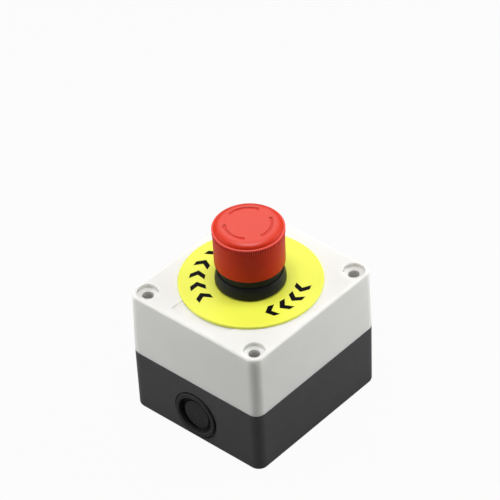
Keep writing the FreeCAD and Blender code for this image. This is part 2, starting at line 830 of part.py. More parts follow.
def level_terminal():
    """A fixed contact strip of the opening block, its rivet facing down."""
    half = terminal_width / 2
    inner_end = contact_place - contact_radius
    outer_end = block_end_y - terminal_end_gap
    strip = slab(pusher_x - half, pusher_x + half, inner_end, outer_end, strip_bottom, strip_top)
    rivet = rod(contact_radius, strip_bottom - contact_height, strip_bottom + TINY, pusher_x, contact_place)
    return fused([strip, rivet]).cut(terminal_hole())


def stepped_terminal():
    """A fixed contact strip of the closing block, stepped down, its rivet facing up."""
    x0 = pusher_x - terminal_width / 2
    x1 = pusher_x + terminal_width / 2
    inner_end = contact_place - contact_radius
    outer_end = block_end_y - terminal_end_gap
    step_outer = cavity_half_length - terminal_end_gap
    step_inner = step_outer - terminal_thickness
    low_bottom = no_strip_top - terminal_thickness
    strip = slab(x0, x1, step_inner, outer_end, strip_bottom, strip_top)
    step = slab(x0, x1, step_inner, step_outer, low_bottom, strip_top)
    low = slab(x0, x1, inner_end, step_outer, low_bottom, no_strip_top)
    rivet = rod(contact_radius, no_strip_top - TINY, no_strip_top + contact_height, pusher_x, contact_place)
    return fused([strip, step, low, rivet]).cut(terminal_hole())


def terminal_hole():
    """The screw hole in a terminal strip or wire clamp."""
    return rod(terminal_screw_radius + screw_clearance, block_bottom, block_top, pusher_x, terminal_y)


def wire_clamp():
    """The plate that holds a wire against the terminal strip."""
    half = clamp_size / 2
    top = strip_bottom
    plate = slab(pusher_x - half, pusher_x + half, terminal_y - half, terminal_y + half,
                 top - clamp_thickness, top)
    return plate.cut(terminal_hole())


def terminal_screw():
    """The screw that draws a wire clamp up to its strip, reached from below."""
    seat = strip_bottom - clamp_thickness
    head = rod(terminal_screw_head_radius, seat - terminal_screw_head_height, seat, pusher_x, terminal_y)
    shank_top = strip_top + terminal_screw_tip
    return fused([head, rod(terminal_screw_radius, seat - TINY, shank_top, pusher_x, terminal_y)])


def contact_block(name, side, bridge_bottom, is_closing):
    """Every node of one contact block, on the +X side or mirrored to the -X side."""
    strip = stepped_terminal() if is_closing else level_terminal()
    spring = coil(contact_spring_radius, contact_spring_wire, cavity_floor, pusher_bottom,
                  contact_spring_active_turns)
    spring.translate(V(pusher_x, 0, 0))
    pieces = {
        "housing": make_block_housing(),
        "cover": cover_plate(0),
        "pusher": make_pusher(bridge_bottom),
        "bridge": make_bridge(bridge_bottom, not is_closing),
        "spring": spring,
        "terminals": Part.makeCompound(both_ends(strip)),
        "wire_clamps": Part.makeCompound(both_ends(wire_clamp())),
        "terminal_screws": Part.makeCompound(both_ends(terminal_screw())),
    }
    if side < 0:
        pieces = {piece: shape.mirror(ORIGIN, ALONG_X) for piece, shape in pieces.items()}
    return {name + "_" + piece: shape for piece, shape in pieces.items()}


def make_parts():
    """Every node of the station by name."""
    parts = {
        "base_box": make_base_box(),
        "lid": make_lid(),
        "lid_gasket": make_lid_gasket(),
        "lid_screws": Part.makeCompound([lid_screw(x, y) for x, y in four_corners(screw_x, screw_y)]),
        "entry_plug": make_entry_plug(),
        "legend_disc": make_legend_disc(),
        "panel_gasket": make_panel_gasket(),
        "bezel": make_bezel(),
        "mounting_nut": make_mounting_nut(),
        "shaft_seal": make_shaft_seal(),
        "latch_ring": make_latch_ring(),
        "plunger_guide": make_plunger_guide(),
        "head_cap": make_head_cap(),
        "head_sleeve": make_head_sleeve(),
        "twist_cam": make_twist_cam(),
        "plunger": make_plunger(),
        "plunger_clip": make_plunger_clip(),
        "pusher_bar": make_pusher_bar(),
        "return_spring": coil(spring_radius, spring_wire, bezel_floor, web_bottom, spring_active_turns),
        "contact_carrier": make_contact_carrier(),
        "carrier_screws": Part.makeCompound([carrier_screw(x, y)
                                             for x, y in four_corners(pusher_x, terminal_y)]),
    }
    parts.update(contact_block("nc", 1, nc_bridge_bottom, False))
    parts.update(contact_block("no", -1, no_bridge_bottom, True))
    return parts


os.makedirs("parts", exist_ok=True)
for node, shape in make_parts().items():
    shape.exportStep("parts/" + node + ".step")
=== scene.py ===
import functools
import math

import bmesh
import bpy
from bpy.props import FloatProperty, FloatVectorProperty, IntProperty, PointerProperty
from mathutils import Matrix, Vector


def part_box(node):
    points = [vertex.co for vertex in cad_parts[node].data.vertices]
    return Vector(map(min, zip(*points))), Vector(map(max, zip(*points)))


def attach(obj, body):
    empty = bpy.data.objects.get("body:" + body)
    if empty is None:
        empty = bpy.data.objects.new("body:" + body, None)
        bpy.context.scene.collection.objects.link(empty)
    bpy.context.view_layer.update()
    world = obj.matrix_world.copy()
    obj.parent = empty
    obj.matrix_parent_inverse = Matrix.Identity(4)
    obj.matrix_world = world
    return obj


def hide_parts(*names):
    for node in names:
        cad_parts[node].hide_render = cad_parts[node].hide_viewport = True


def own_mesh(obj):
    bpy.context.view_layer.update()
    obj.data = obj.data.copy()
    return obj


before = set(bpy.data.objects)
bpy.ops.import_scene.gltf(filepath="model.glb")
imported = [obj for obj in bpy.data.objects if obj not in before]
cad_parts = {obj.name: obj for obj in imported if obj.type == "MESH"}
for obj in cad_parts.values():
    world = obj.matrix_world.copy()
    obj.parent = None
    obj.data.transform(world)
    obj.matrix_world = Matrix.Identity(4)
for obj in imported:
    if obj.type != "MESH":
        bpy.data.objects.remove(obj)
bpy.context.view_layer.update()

bl_info = {
    "name": "Emergency Stop Station",
    "version": (1, 0, 0),
    "blender": (4, 5, 0),
    "location": "View3D > Sidebar > Stop Station",
    "description": "Dresses an emergency stop station and lights it on a plain floor",
    "category": "Object",
}

MM = 0.001
FULL_TURN = 2 * math.pi
SHARP_ANGLE = math.radians(40.0)
WHITE = (1.0, 1.0, 1.0, 1.0)
LID_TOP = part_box("lid")[1].z
DISC_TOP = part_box("legend_disc")[1].z
CAP_LOW, CAP_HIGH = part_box("head_cap")

# Camera body: sensor in millimetres, clipping in metres
SENSOR_WIDTH = 36.0
CLIP_START = 0.1
CLIP_END = 50.0

# What the finishes share: spans of noise, grain and lit edges of mouldings (wear and painted highlight),
# streaks of metal
NOISE_SPAN = (0.3, 0.7)
PATCH_SPAN = (0.35, 0.65)
GRAIN_STRENGTH = 0.5
GRAIN_DEPTH = 0.02 * MM
EDGE_WIDTH = 0.25 * MM
EDGE_MATCH = (0.99, 0.80)
SCATTER_RADIUS = (1.0, 1.0, 0.95)
STREAK_STRENGTH = 0.3
STREAK_DEPTH = 0.01 * MM
STREAK_STRETCH = (900.0, 900.0, 9000.0)


def length(label, text, default):
    """A size in metres."""
    return FloatProperty(name=label, description=text, default=default, unit="LENGTH", precision=5)


def angle(label, text, degrees):
    """An angle that a user sees in degrees."""
    return FloatProperty(name=label, description=text, default=math.radians(degrees), subtype="ANGLE")


def share(label, text, default):
    """A number from 0 to 1."""
    return FloatProperty(name=label, description=text, default=default, min=0, max=1, subtype="FACTOR")


def power(label, text, default):
    """The power of a light."""
    return FloatProperty(name=label, description=text, default=default, unit="POWER")


def colour(label, text, default):
    """A linear colour."""
    return FloatVectorProperty(name=label, description=text, default=default, min=0, max=1, subtype="COLOR")


def count(label, text, default):
    """A number of copies or steps."""
    return IntProperty(name=label, description=text, default=default, min=1)


class StageSettings(bpy.types.PropertyGroup):
    """The camera, the floor and the sky"""
    camera_azimuth: angle("Camera azimuth", "Turn of the camera round the station", 42.694)
    camera_elevation: angle("Camera elevation", "Height of the camera above the horizon", 40.495)
    camera_roll: angle("Camera roll", "Tilt of the picture", -2.811)
    camera_distance: length("Camera distance", "From the camera to the point it aims at", 1.7465)
    camera_lens: FloatProperty(
        name="Lens", description="Focal length in millimetres", default=304.9, unit="CAMERA")
    camera_aim: FloatVectorProperty(
        name="Aim", description="The point that the camera aims at", subtype="TRANSLATION",
        default=(-12.936 * MM, 14.41 * MM, LID_TOP))
    floor_size: length("Floor size", "Side of the square floor", 12.0)
    floor_rise: length("Floor rise", "How far the floor lies above the underside", 0.02 * MM)
    floor_colour: colour("Floor", "Colour of the floor", (0.36, 0.36, 0.36))
    floor_roughness: share("Floor roughness", "Roughness of the floor", 0.8)
    floor_gloss: share("Floor gloss", "Gloss of the floor", 0.1)
    floor_glow: share("Floor glow", "How far the floor shows as lit from below", 0.95)
    sky_strength: FloatProperty(name="Sky", description="Strength of the even light all round", default=0.03)


def softbox_settings(side, azimuth, elevation, distance, width, height, watts):
    """A group with the settings of one soft light."""
    title = side.title()
    return type(f"{title}LightSettings", (bpy.types.PropertyGroup,), {"__annotations__": {
        "azimuth": angle(f"{title} azimuth", f"Where the {side} light stands", azimuth),
        "elevation": angle(f"{title} elevation", f"Height of the {side} light above the horizon", elevation),
        "distance": length(f"{title} distance", f"From the station to the {side} light", distance),
        "width": length(f"{title} width", f"Width of the {side} light", width),
        "height": length(f"{title} height", f"Height of the {side} light's face", height),
        "power": power(f"{title} power", f"Power of the {side} light", watts),
    }})


LIGHTS = {
    "top": softbox_settings("top", 42.7, 86.5, distance=2.5, width=1.2, height=1.2, watts=51.5),
    "left": softbox_settings("left", -49.0, 18.0, distance=0.45, width=0.3, height=0.3, watts=1.26),
    "right": softbox_settings("right", 139.0, 18.0, distance=0.45, width=0.3, height=0.3, watts=1.56),
    "rear": softbox_settings("rear", 222.7, 40.5, distance=2.5, width=2.2, height=1.0, watts=13.0),
}


class FinishSettings(bpy.types.PropertyGroup):
    """The colours of the finishes"""
    lid_white: colour("Lid white", "Moulded white of the lid", (0.77, 0.77, 0.745))
    box_grey: colour("Box grey", "Moulded dark grey of the box", (0.052, 0.052, 0.055))
    rubber_grey: colour("Rubber grey", "Dark grey rubber of the plug and seals", (0.017, 0.017, 0.018))
    legend_yellow: colour("Legend yellow", "Yellow of the legend disc", (0.80, 0.83, 0.070))
    print_black: colour("Print black", "Ink of the marks on the disc", (0.004, 0.004, 0.005))
    # Painted highlight: the teeth's crests are a lighter red, standing in for the light they catch.
    tooth_red: colour("Tooth red", "Rubbed red of the teeth's crests", (0.86, 0.06, 0.04))
    # Painted highlight: the rim line is a lighter, pinker red, standing in for its shine.
    rim_red: colour("Rim red", "Rubbed red of the rim line", (0.80, 0.085, 0.06))
    cap_red: colour("Cap red", "Red of the push cap", (0.70, 0.036, 0.012))
    collar_black: colour("Collar black", "Black of the collar and inner mouldings", (0.012, 0.013, 0.017))
    sleeve_black: colour("Sleeve black", "Black of the sleeve under the cap", (0.011, 0.0125, 0.016))
    guide_grey: colour("Guide grey", "Grey of the inner mouldings", (0.22, 0.23, 0.24))
    block_ivory: colour("Block ivory", "Pale grey of the contact block bodies", (0.55, 0.55, 0.52))
    opening_red: colour("Opening pusher", "Red of the opening block's pusher", (0.60, 0.035, 0.025))
    closing_green: colour("Closing pusher", "Green of the closing block's pusher", (0.03, 0.30, 0.07))
    steel: colour("Steel", "Zinc-plated steel of screws and springs", (0.60, 0.61, 0.62))
    brass: colour("Brass", "Brass of terminals and bridges", (0.72, 0.50, 0.20))


class CapSettings(bpy.types.PropertyGroup):
    """The push cap with its arrows, its teeth and its polish"""
    segments: count("Segments", "Faces round the cap", 240)
    rim_radius: length("Rim radius", "Radius of the raised rim line", CAP_HIGH.x)
    rim_ledge: length("Rim ledge", "Width of the level ledge on top of the rim", 0.75 * MM)
    rim_step: length("Rim step", "How far the rim stands proud of the skirt", 0.2 * MM)
    rim_drop: length("Rim drop", "From the top face down to the rim", 2.0 * MM)
    rim_width: length("Rim width", "Height of the rim line", 0.5 * MM)
    foot_radius: length("Foot radius", "Radius at the cap's lower edge", 14.68 * MM)
    foot_edge: length("Foot edge", "Rounding of the lower edge", 0.4 * MM)
    foot_steps: count("Foot steps", "Faces across the rounding of the lower edge", 6)
    crown_reach: length("Crown reach", "Width of the rounding between top and rim", 3.2 * MM)
    crown_steps: count("Crown steps", "Faces across the rounding between top and rim", 16)
    bore_radius: length("Bore radius", "Radius of the hollow inside", 12.05 * MM)
    roof: length("Roof", "Thickness of the cap's top", 2.5 * MM)
    soft_edge: length("Soft edge", "Width of the rounding on the small edges", 0.07 * MM)
    soft_steps: count("Soft steps", "Faces across the rounding of the small edges", 2)
    arrow_count: count("Arrows", "Sunk arrows on the top", 3)
    arrow_radius: length("Arrow radius", "Radius of the arrows' middle line", 9.7 * MM)
    arrow_width: length("Arrow width", "Width of an arrow's shaft", 1.7 * MM)
    arrow_head_width: length("Arrow head width", "Width across an arrow's barbs", 2.7 * MM)
    arrow_head_length: length("Arrow head length", "Length of an arrow's head", 2.2 * MM)
    arrow_depth: length("Arrow depth", "How deep the arrows are sunk", 0.42 * MM)
    arrow_tail: angle("Arrow tail", "Where the first arrow's tail lies", 63.0)
    arrow_span: angle("Arrow span", "Angle from tail to tip", 85.0)
    arrow_steps: count("Arrow steps", "Faces along an arrow's shaft", 36)
    tooth_count: count("Teeth", "Fine grip teeth under the rim", 126)
    tooth_height: length("Tooth height", "How far a tooth stands proud", 0.2 * MM)
    tooth_width: length("Tooth width", "Width of a tooth at its root", 0.5 * MM)
    tooth_crest: length("Tooth crest", "Width of a tooth along its crest", 0.25 * MM)
    tooth_length: length("Tooth length", "Length of a tooth down the side", 1.6 * MM)
    tooth_runout: length("Tooth run-out", "Length over which a tooth sinks into the side", 0.6 * MM)
    # Painted shade: the gaps between the teeth are a darker copy of the cap's red.
    tooth_gap_painted_shade: share("Tooth shade", "How much darker the gaps between the teeth are", 0.62)
    roughness: share("Roughness", "Roughness of the cap's moulding", 0.42)
    skirt_gloss: share("Skirt gloss", "Gloss of the cap's side", 0.10)
    # Painted shade: the cap's side is given a darker red than its top.
    skirt_painted_shade: share("Skirt shade", "How much duller the side's red is than the top's", 0.28)
    palm_polish: share("Palm polish", "Strength of the polish that palms have left on the top", 0.95)
    palm_polish_ior: FloatProperty(name="Polish IOR", description="Refraction of the polish", default=1.6)
    palm_reach: length("Palm reach", "How far down the crown the polish fades out", 0.9 * MM)


class LegendSettings(bpy.types.PropertyGroup):
    """The two rows of turn marks on the disc"""
    mark_radius: length("Mark radius", "Radius of the middle of the marks", 22.0 * MM)
    mark_height: length("Mark height", "Radial height of a mark", 6.4 * MM)
    mark_sweep: length("Mark sweep", "How far a mark's point leads its ends", 2.5 * MM)
    mark_stroke: length("Mark stroke", "Width of a mark along the ring", 2.7 * MM)
    mark_thickness: length("Mark thickness", "Thickness of the ink", 0.03 * MM)
    long_count: count("Long row", "Marks in the long row", 9)
    long_first: angle("Long row start", "Where the long row starts", -110.8)
    long_step: angle("Long row step", "Angle between marks of the long row", -18.6)
    short_count: count("Short row", "Marks in the short row", 4)
    short_first: angle("Short row start", "Where the short row starts", 23.1)
    short_step: angle("Short row step", "Angle between marks of the short row", -16.7)


class SpringSettings(bpy.types.PropertyGroup):
    """The wires of the springs"""
    return_wire: length("Return wire", "Wire of the return spring", 1.0 * MM)
    contact_wire: length("Contact wire", "Wire of the contact springs", 0.5 * MM)
    active_turns: count("Active turns", "Open turns of a spring", 4)
    closed_turns: count("Closed turns", "Touching turns at each end", 1)
    closed_pitch: FloatProperty(
        name="Closed pitch", description="Rise of a closed turn, in wire thicknesses", default=1.1)
    steps: count("Steps", "Faces along each turn of the wire", 48)
    sides: count("Sides", "Faces round the wire", 12)


def fill(tree, node, inputs):
    """Set a node's inputs to values, or link them to sockets."""
    for name, value in inputs.items():
        if isinstance(value, bpy.types.NodeSocket):
            tree.links.new(value, node.inputs[name])
        else:
            node.inputs[name].default_value = value
    return node


def add_node(tree, kind, inputs=None, **settings):
    """A new node with its settings and inputs."""
    node = tree.nodes.new(kind)
    for name, value in settings.items():
        setattr(node, name, value)
    return fill(tree, node, inputs or {})


def reckon(tree, operation, *values):
    """The result of a maths node."""
    return add_node(tree, "ShaderNodeMath", dict(enumerate(values)), operation=operation).outputs[0]


def spread(tree, value, span, low, high):
    """A value stretched from its own span over another one."""
    return add_node(tree, "ShaderNodeMapRange", {
        "Value": value, "From Min": span[0], "From Max": span[1], "To Min": low, "To Max": high}).outputs[0]


def noise(tree, place, scale, detail):
    """A soft noise over a place."""
    soft = add_node(tree, "ShaderNodeTexNoise", {"Vector": place, "Scale": scale, "Detail": detail})
    return soft.outputs[0]


def new_tree(name, kind, inputs, outputs):
    """A node group with named sockets, and the sockets of its input and output nodes."""
    tree = bpy.data.node_groups.new(name, kind)
    for label, socket in inputs:
        tree.interface.new_socket(label, in_out="INPUT", socket_type="NodeSocket" + socket)
    for label, socket in outputs:
        tree.interface.new_socket(label, in_out="OUTPUT", socket_type="NodeSocket" + socket)
    return tree, tree.nodes.new("NodeGroupInput").outputs, tree.nodes.new("NodeGroupOutput").inputs


def built_once(build):
    """Build a node group on its first use, under its function's name."""
    @functools.wraps(build)
    def find_or_build():
        return bpy.data.node_groups.get(build.__name__) or build(build.__name__)
    return find_or_build


@built_once
def moulded_grain(name):
    """Shader group: the tone, gloss and fine spark texture of a moulded surface."""
    tree, given, made = new_tree(
        name, "ShaderNodeTree",
        [("Colour", "Color"), ("Mottle", "Float"), ("Roughness", "Float"), ("Grain Scale", "Float")],
        [("Colour", "Color"), ("Roughness", "Float"), ("Height", "Float")])
    place = add_node(tree, "ShaderNodeTexCoord").outputs["Object"]
    cloud = noise(tree, place, scale=70.0, detail=3.0)
    darkest = reckon(tree, "SUBTRACT", 1.0, given["Mottle"])
    lightest = reckon(tree, "ADD", 1.0, given["Mottle"])
    tone = spread(tree, cloud, NOISE_SPAN, darkest, lightest)
    toned = add_node(tree, "ShaderNodeHueSaturation", {"Value": tone, "Color": given["Colour"]})
    tree.links.new(toned.outputs[0], made["Colour"])
    drift = spread(tree, noise(tree, place, scale=260.0, detail=5.0), NOISE_SPAN, low=-0.03, high=0.03)
    tree.links.new(reckon(tree, "ADD", drift, given["Roughness"]), made["Roughness"])
    tree.links.new(noise(tree, place, given["Grain Scale"], detail=2.0), made["Height"])
    return tree


@built_once
def worn_and_highlit_edges(name):
    """Shader group: a broken mask along the edges, where the mouldings are lightened as wear and as a painted
    highlight.
    """
    tree, given, made = new_tree(
        name, "ShaderNodeTree", [("Width", "Float"), ("Amount", "Float")], [("Mask", "Float")])
    place = add_node(tree, "ShaderNodeTexCoord").outputs["Object"]
    softened = add_node(tree, "ShaderNodeBevel", {"Radius": given["Width"]}, samples=6)
    plain = add_node(tree, "ShaderNodeNewGeometry").outputs["Normal"]
    match = add_node(tree, "ShaderNodeVectorMath", {0: softened.outputs[0], 1: plain},
                     operation="DOT_PRODUCT")
    edge = spread(tree, match.outputs["Value"], EDGE_MATCH, low=0.0, high=1.0)
    patch = noise(tree, place, scale=190.0, detail=4.0)
    broken = spread(tree, patch, PATCH_SPAN, low=0.2, high=given["Amount"])
    tree.links.new(reckon(tree, "MULTIPLY", edge, broken), made["Mask"])
    return tree


@built_once
def drawn_metal(name):
    """Shader group: fine streaks and stains of drawn or rolled metal."""
    tree, given, made = new_tree(
        name, "ShaderNodeTree", [("Colour", "Color"), ("Roughness", "Float")],
        [("Colour", "Color"), ("Roughness", "Float"), ("Height", "Float")])
    place = add_node(tree, "ShaderNodeTexCoord").outputs["Object"]
    stretched = add_node(tree, "ShaderNodeMapping", {"Vector": place, "Scale": STREAK_STRETCH})
    streak = noise(tree, stretched.outputs[0], scale=1.0, detail=4.0)
    stain = noise(tree, place, scale=400.0, detail=3.0)
    tone = spread(tree, stain, NOISE_SPAN, low=0.82, high=1.08)
    toned = add_node(tree, "ShaderNodeHueSaturation", {"Value": tone, "Color": given["Colour"]})
    tree.links.new(toned.outputs[0], made["Colour"])
    drift = spread(tree, streak, NOISE_SPAN, low=-0.10, high=0.10)
    tree.links.new(reckon(tree, "ADD", drift, given["Roughness"]), made["Roughness"])
    tree.links.new(streak, made["Height"])
    return tree


def empty_material(name):
    """A material with its node tree and its shader."""
    material = bpy.data.materials.new(name)
    material.use_nodes = True
    return material, material.node_tree, material.node_tree.nodes["Principled BSDF"]


def blend_colours(tree, mask, first, second, target):
    """Mix two colours, each a value or a socket, by a mask."""
    mixed = add_node(tree, "ShaderNodeMix", {"Factor": mask}, data_type="RGBA")
    for socket, value in zip([socket for socket in mixed.inputs if socket.type == "RGBA"], (first, second)):
        if isinstance(value, bpy.types.NodeSocket):
            tree.links.new(value, socket)
        else:
            socket.default_value = (*value, 1.0)
    tree.links.new(next(socket for socket in mixed.outputs if socket.type == "RGBA"), target)


def moulded(name, tint, roughness, mottle=0.03, grain_scale=3200.0, edge_wear_and_highlight=0.12, gloss=0.5,
            scatter_depth=0.0):
    """A moulded plastic or rubber: toned, finely grained and lightened along its edges, partly as wear and
    partly as a painted highlight.
    """
    material, tree, shader = empty_material(name)
    paint = add_node(tree, "ShaderNodeGroup", node_tree=moulded_grain(), inputs={
        "Colour": (*tint, 1.0), "Mottle": mottle, "Roughness": roughness, "Grain Scale": grain_scale})
    edges = add_node(tree, "ShaderNodeGroup", node_tree=worn_and_highlit_edges(), inputs={
        "Width": EDGE_WIDTH, "Amount": 1.0})
    # The edges are lightened, partly as wear and partly as a painted highlight.
    worn_and_highlit = tuple(value + (1.0 - value) * edge_wear_and_highlight for value in tint)
    blend_colours(tree, edges.outputs["Mask"], paint.outputs["Colour"], worn_and_highlit, shader.inputs["Base Color"])
    bump = add_node(tree, "ShaderNodeBump", {
        "Strength": GRAIN_STRENGTH, "Distance": GRAIN_DEPTH, "Height": paint.outputs["Height"]})
    fill(tree, shader, {
        "Roughness": paint.outputs["Roughness"], "Normal": bump.outputs["Normal"],
        "Specular IOR Level": gloss})
    if scatter_depth:
        fill(tree, shader, {
            "Subsurface Weight": 1.0, "Subsurface Radius": SCATTER_RADIUS, "Subsurface Scale": scatter_depth})
    return material


def metal(name, tint, roughness):
    """A plain metal with drawn streaks."""
    material, tree, shader = empty_material(name)
    paint = add_node(tree, "ShaderNodeGroup", node_tree=drawn_metal(), inputs={
        "Colour": (*tint, 1.0), "Roughness": roughness})
    bump = add_node(tree, "ShaderNodeBump", {
        "Strength": STREAK_STRENGTH, "Distance": STREAK_DEPTH, "Height": paint.outputs["Height"]})
    fill(tree, shader, {
        "Base Color": paint.outputs["Colour"], "Roughness": paint.outputs["Roughness"],
        "Normal": bump.outputs["Normal"], "Metallic": 1.0})
    return material


def dress(material, *nodes):
    """Give CAD nodes a material."""
    for node in nodes:
        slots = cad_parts[node].data.materials
        slots.clear()
        slots.append(material)


def link(name, data):
    """A new object in the scene, at the origin."""
    item = bpy.data.objects.new(name, data)
    bpy.context.scene.collection.objects.link(item)
    return item


def settle(item):
    """Turn an object and its modifiers into a plain mesh."""
    graph = bpy.context.evaluated_depsgraph_get()
    plain = bpy.data.meshes.new_from_object(item.evaluated_get(graph), depsgraph=graph)
    item.modifiers.clear()
    item.data = plain
    return item


def grow(name, mesh, tree, **inputs):
    """Run a geometry tree on a mesh and keep the result as a plain mesh."""
    item = link(name, mesh)
    modifier = item.modifiers.new(tree.name, "NODES")
    modifier.node_group = tree
    for socket in tree.interface.items_tree:
        key = socket.name.lower().replace(" ", "_")
        if socket.in_out == "INPUT" and key in inputs:
            modifier[socket.identifier] = inputs[key]
    return settle(item)


def drop(item):
    """Remove a helper object and its mesh."""
    mesh = item.data
    bpy.data.objects.remove(item)
    bpy.data.meshes.remove(mesh)


def to_mesh(name, shape):
    """A mesh from a finished bmesh, with its faces pointing outwards."""
    bmesh.ops.recalc_face_normals(shape, faces=shape.faces)
    mesh = bpy.data.meshes.new(name)
    shape.to_mesh(mesh)
    shape.free()
    return mesh


def skin(name, rings):
    """A closed mesh over rings of points, all of one length; the first and the last ring are filled."""
    shape = bmesh.new()
    rings = [[shape.verts.new(point) for point in ring] for ring in rings]
    shape.faces.new(rings[0])
    shape.faces.new(rings[-1])
    for upper, lower in zip(rings, rings[1:]):
        for step in range(len(upper)):
            after = (step + 1) % len(upper)
            shape.faces.new((upper[step], upper[after], lower[after], lower[step]))
    return to_mesh(name, shape)


def prism(name, outline, low, high):
    """A closed prism over a flat outline of (x, y) points."""
    return skin(name, [[(x, y, height) for x, y in outline] for height in (low, high)])


def lathe(name, profile, segments):
    """A closed mesh turned about Z from a profile of (radius, height) points."""
    turns = [FULL_TURN * step / segments for step in range(segments)]
    return skin(name, [[(radius * math.cos(turn), radius * math.sin(turn), height) for turn in turns]
                       for radius, height in profile])


def arc(centre_radius, centre_height, reach, rise, start, end, steps):
    """Profile points along an ellipse's arc, its angles in degrees from outwards."""
    points = []
    for step in range(steps + 1):
        turn = math.radians(start + (end - start) * step / steps)
        points.append((centre_radius + reach * math.cos(turn), centre_height + rise * math.sin(turn)))
    return points


def end_geometry(tree, geometry, material, target):
    """End a geometry tree: make its copies real and give them their material."""
    plain = add_node(tree, "GeometryNodeRealizeInstances", {"Geometry": geometry})
    finished = add_node(tree, "GeometryNodeSetMaterial", {"Geometry": plain.outputs[0], "Material": material})
    tree.links.new(finished.outputs[0], target)


@built_once
def copies_round_axis(name):
    """Geometry tree: copies of a mesh set round the button's axis."""
    tree, given, made = new_tree(
        name, "GeometryNodeTree",
        [("Geometry", "Geometry"), ("Count", "Int"), ("Radius", "Float"), ("First Angle", "Float"),
         ("Step Angle", "Float"), ("Height", "Float"), ("Material", "Material")],
        [("Geometry", "Geometry")])
    index = add_node(tree, "GeometryNodeInputIndex").outputs[0]
    turn = reckon(tree, "MULTIPLY_ADD", index, given["Step Angle"], given["First Angle"])
    place = add_node(tree, "ShaderNodeCombineXYZ", {
        "X": reckon(tree, "MULTIPLY", reckon(tree, "COSINE", turn), given["Radius"]),
        "Y": reckon(tree, "MULTIPLY", reckon(tree, "SINE", turn), given["Radius"]),
        "Z": given["Height"]})
    facing = add_node(tree, "ShaderNodeCombineXYZ", {"Z": turn})
    points = add_node(tree, "GeometryNodePoints", {"Count": given["Count"], "Position": place.outputs[0]})
    copies = add_node(tree, "GeometryNodeInstanceOnPoints", {
        "Points": points.outputs[0], "Instance": given["Geometry"], "Rotation": facing.outputs[0]})
    end_geometry(tree, copies.outputs[0], given["Material"], made["Geometry"])
    return tree


@built_once
def wound_wire(name):
    """Geometry tree: a wire wound into a compression spring with closed ends."""
    tree, given, made = new_tree(
        name, "GeometryNodeTree",
        [("Geometry", "Geometry"), ("Radius", "Float"), ("Wire", "Float"), ("Centre X", "Float"),
         ("Bottom", "Float"), ("Top", "Float"), ("Active Turns", "Int"), ("Closed Turns", "Int"),
         ("Closed Pitch", "Float"), ("Steps", "Int"), ("Sides", "Int"), ("Material", "Material")],
        [("Geometry", "Geometry")])
    sum_up = functools.partial(reckon, tree)
    both_closed = sum_up("MULTIPLY", given["Closed Turns"], 2.0)
    turns = sum_up("ADD", both_closed, given["Active Turns"])
    last_closed = sum_up("ADD", given["Closed Turns"], given["Active Turns"])
    steps = sum_up("MULTIPLY", turns, given["Steps"])
    index = add_node(tree, "GeometryNodeInputIndex").outputs[0]
    turn = sum_up("DIVIDE", index, given["Steps"])
    half_wire = sum_up("MULTIPLY", given["Wire"], 0.5)
    closed_pitch = sum_up("MULTIPLY", given["Wire"], given["Closed Pitch"])
    closed_rise = sum_up("MULTIPLY", closed_pitch, given["Closed Turns"])
    whole_rise = sum_up("SUBTRACT", sum_up("SUBTRACT", given["Top"], given["Bottom"]), given["Wire"])
    open_rise = sum_up("SUBTRACT", whole_rise, sum_up("MULTIPLY", closed_rise, 2.0))
    low = spread(tree, turn, (0.0, given["Closed Turns"]), 0.0, closed_rise)
    middle = spread(tree, turn, (given["Closed Turns"], last_closed), 0.0, open_rise)
    high = spread(tree, turn, (last_closed, turns), 0.0, closed_rise)
    climb = sum_up("ADD", sum_up("ADD", low, middle), high)
    around = sum_up("MULTIPLY", turn, FULL_TURN)
    place = add_node(tree, "ShaderNodeCombineXYZ", {
        "X": sum_up("MULTIPLY_ADD", sum_up("COSINE", around), given["Radius"], given["Centre X"]),
        "Y": sum_up("MULTIPLY", sum_up("SINE", around), given["Radius"]),
        "Z": sum_up("ADD", climb, sum_up("ADD", given["Bottom"], half_wire))})
    line = add_node(tree, "GeometryNodeMeshLine", {"Count": sum_up("ADD", steps, 1.0)})
    wound = add_node(tree, "GeometryNodeSetPosition", {
        "Geometry": line.outputs[0], "Position": place.outputs[0]})
    path = add_node(tree, "GeometryNodeMeshToCurve", {"Mesh": wound.outputs[0]})
    section = add_node(tree, "GeometryNodeCurvePrimitiveCircle", {
        "Resolution": given["Sides"], "Radius": half_wire})
    wire = add_node(tree, "GeometryNodeCurveToMesh", {
        "Curve": path.outputs[0], "Profile Curve": section.outputs[0], "Fill Caps": True})
    end_geometry(tree, wire.outputs[0], given["Material"], made["Geometry"])
    return tree


def direction(azimuth, elevation):
    """The unit vector from the station towards an azimuth and elevation."""
    level = math.cos(elevation)
    return Vector((math.sin(azimuth) * level, -math.cos(azimuth) * level, math.sin(elevation)))


